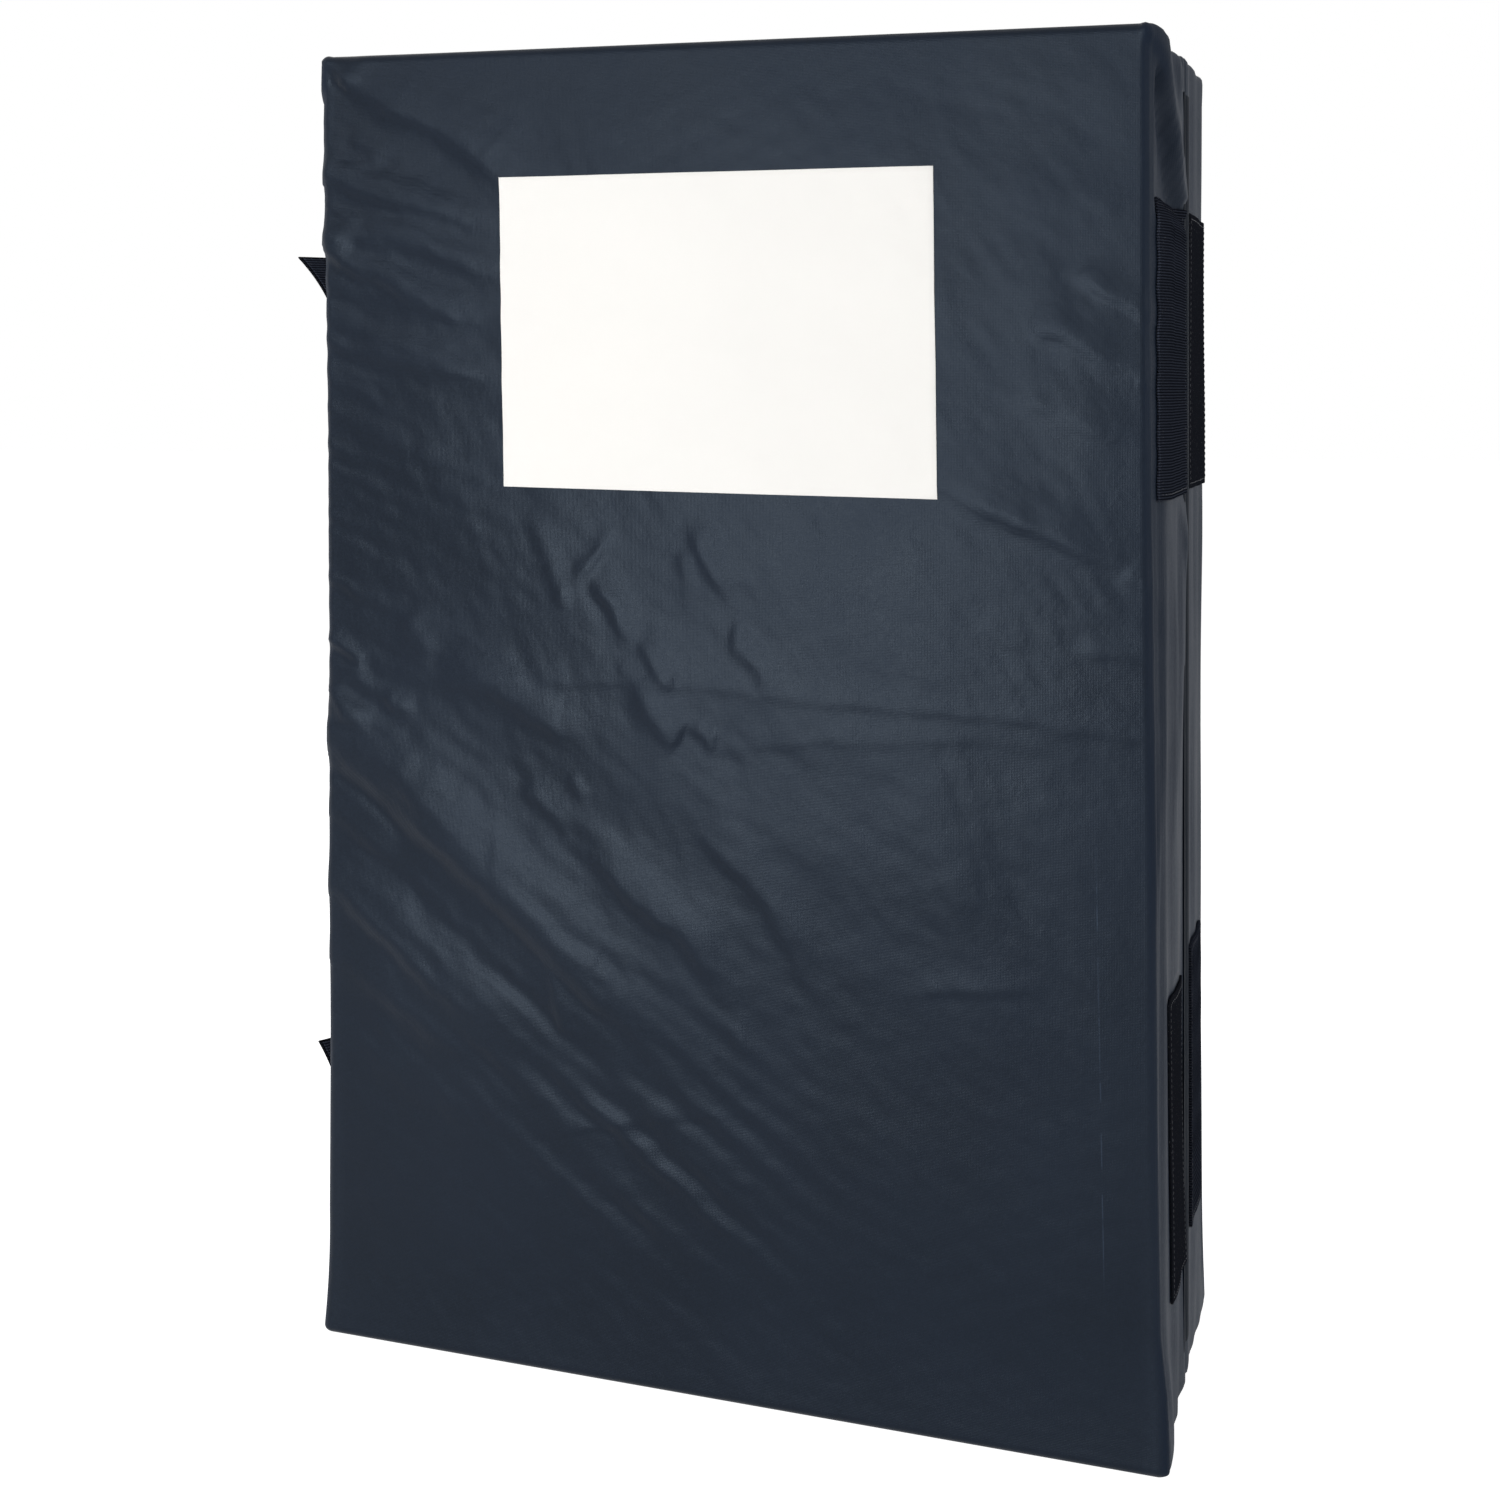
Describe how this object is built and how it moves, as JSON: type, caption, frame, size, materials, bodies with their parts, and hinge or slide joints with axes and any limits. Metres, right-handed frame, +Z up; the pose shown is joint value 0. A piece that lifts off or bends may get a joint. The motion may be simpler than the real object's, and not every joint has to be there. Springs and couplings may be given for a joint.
{
  "type": "bouldering crash pad",
  "caption": "Folding foam landing pad closed on its short end, with a cloth hinge, closing flaps, zipped covers and a carrying harness.",
  "frame": {"origin": "centre of the flat bottom face of the rear half, on which the folded pad stands", "axes": "+Z up along the pad's long side, -Y to the front (the face with the panel), +X to the spine side"},
  "size_m": [0.7007, 0.3496, 1.0073],
  "materials": {
    "cover_cloth": "satin coated pack cloth, navy charcoal",
    "hinge_cloth": "coated pack cloth, darker",
    "loop_tape": "fuzzy loop tape, black",
    "hook_tape": "ribbed hook tape, black",
    "flap_webbing": "woven flap, black",
    "panel_film": "matte off-white panel, bare",
    "harness_webbing": "woven webbing, black",
    "strap_padding": "padded strap cloth, black",
    "buckle_plastic": "moulded, black",
    "zip_tape": "woven zip tape, black",
    "zip_teeth": "coil, black",
    "zip_metal": "dark enamelled",
    "soft_foam": "open-cell foam, cream",
    "firm_foam": "closed-cell foam, grey"
  },
  "bodies": {
    "rear_half": {"rear_cover": "cover_cloth", "rear_landing_foam": "firm_foam", "rear_foam_core": "soft_foam", "rear_ground_foam": "firm_foam", "rear_zip_tape": "zip_tape", "rear_zip_teeth": "zip_teeth", "rear_spine_loop_upper": "loop_tape", "rear_spine_hook_lower": "hook_tape", "rear_hinge_leaf": "hinge_cloth", "upper_flap_anchor": "flap_webbing", "lower_flap_anchor": "flap_webbing", "strap_yoke_panel": "hinge_cloth", "haul_handle": "harness_webbing", "left_shoulder_strap": "strap_padding", "right_shoulder_strap": "strap_padding", "left_ladder_lock": "buckle_plastic", "right_ladder_lock": "buckle_plastic", "left_lock_loop": "harness_webbing", "right_lock_loop": "harness_webbing", "left_adjuster_webbing": "harness_webbing", "right_adjuster_webbing": "harness_webbing", "left_strap_anchor": "hinge_cloth", "right_strap_anchor": "hinge_cloth", "left_waist_belt": "harness_webbing", "left_belt_anchor": "hinge_cloth", "right_belt_anchor": "hinge_cloth", "buckle_socket": "buckle_plastic"},
    "front_half": {"front_cover": "cover_cloth", "front_landing_foam": "firm_foam", "front_foam_core": "soft_foam", "front_ground_foam": "firm_foam", "front_zip_tape": "zip_tape", "front_zip_teeth": "zip_teeth", "front_spine_hook_upper": "hook_tape", "front_spine_loop_lower": "loop_tape", "front_hinge_leaf": "hinge_cloth", "front_panel": "panel_film", "upper_flap_loop_patch": "loop_tape", "lower_flap_loop_patch": "loop_tape"},
    "rear_zip_slider": {"rear_zip_slider": "zip_metal"},
    "rear_zip_pull": {"rear_zip_pull": "zip_metal"},
    "front_zip_slider": {"front_zip_slider": "zip_metal"},
    "front_zip_pull": {"front_zip_pull": "zip_metal"},
    "upper_flap": {"upper_closing_flap": "flap_webbing", "upper_flap_hook_tape": "hook_tape"},
    "lower_flap": {"lower_closing_flap": "flap_webbing", "lower_flap_hook_tape": "hook_tape"},
    "buckle_plug": {"buckle_plug": "buckle_plastic", "right_waist_belt": "harness_webbing"}
  },
  "joints": [
    {"name": "fold", "type": "hinge", "parent": "rear_half", "child": "front_half", "pos_m": [0.3307, -0.068, 0], "axis": [0, 0, 1], "range_deg": [0, 180]},
    {"name": "upper_flap_lift", "type": "hinge", "parent": "rear_half", "child": "upper_flap", "pos_m": [-0.32975, -0.03, 0.83], "axis": [0, 0, -1], "range_deg": [0, 160]},
    {"name": "lower_flap_lift", "type": "hinge", "parent": "rear_half", "child": "lower_flap", "pos_m": [-0.32975, -0.03, 0.18], "axis": [0, 0, -1], "range_deg": [0, 160]},
    {"name": "rear_zip_slide", "type": "slide", "parent": "rear_half", "child": "rear_zip_slider", "axis": [1, 0, 0], "range_m": [0, 0.542]},
    {"name": "rear_zip_pull_turn", "type": "hinge", "parent": "rear_zip_slider", "child": "rear_zip_pull", "pos_m": [-0.271, 0, 1.00434], "axis": [0, -1, 0], "range_deg": [0, 180]},
    {"name": "front_zip_slide", "type": "slide", "parent": "front_half", "child": "front_zip_slider", "axis": [1, 0, 0], "range_m": [0, 0.542]},
    {"name": "front_zip_pull_turn", "type": "hinge", "parent": "front_zip_slider", "child": "front_zip_pull", "pos_m": [-0.271, -0.136, 1.00434], "axis": [0, -1, 0], "range_deg": [0, 180]},
    {"name": "buckle_release", "type": "slide", "parent": "rear_half", "child": "buckle_plug", "axis": [1, 0, 0], "range_m": [0, 0.03]}
  ]
}
